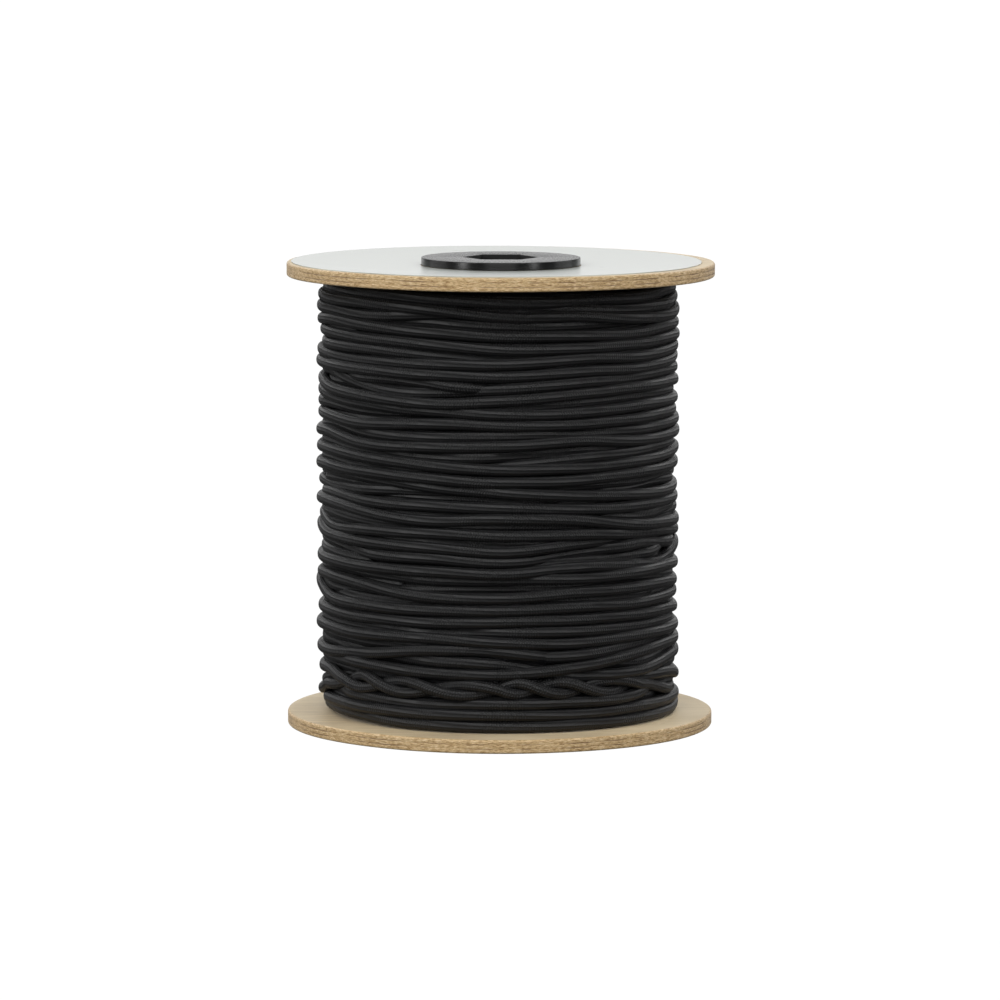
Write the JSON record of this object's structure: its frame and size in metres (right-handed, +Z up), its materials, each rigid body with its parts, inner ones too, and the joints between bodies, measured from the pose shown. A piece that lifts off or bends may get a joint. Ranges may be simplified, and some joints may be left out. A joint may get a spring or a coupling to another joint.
{
  "type": "spool of braided cord",
  "caption": "Round braided black cord wound on a spool with two plywood flanges, a moulded hub with a six-sided bore and a blank round label.",
  "frame": {"origin": "on the spool's axis at the underside of the lower flange, on which it stands", "axes": "+Z up along the spool's axis towards the labelled flange and the hub; -Y faces the picture's camera"},
  "size_m": [0.165, 0.165, 0.1807],
  "materials": {
    "plywood": "sanded, unvarnished",
    "label_paper": "coated, glossy",
    "hub_plastic": "moulded with a fine grain",
    "tube_board": "wound kraft board",
    "cord_braid": "braided polyester sheath, slight sheen"
  },
  "bodies": {
    "root": {"bottom_flange": "plywood", "top_flange": "plywood", "label": "label_paper", "hub": "hub_plastic", "tube": "tube_board", "wound_cord": "cord_braid"}
  },
  "joints": []
}
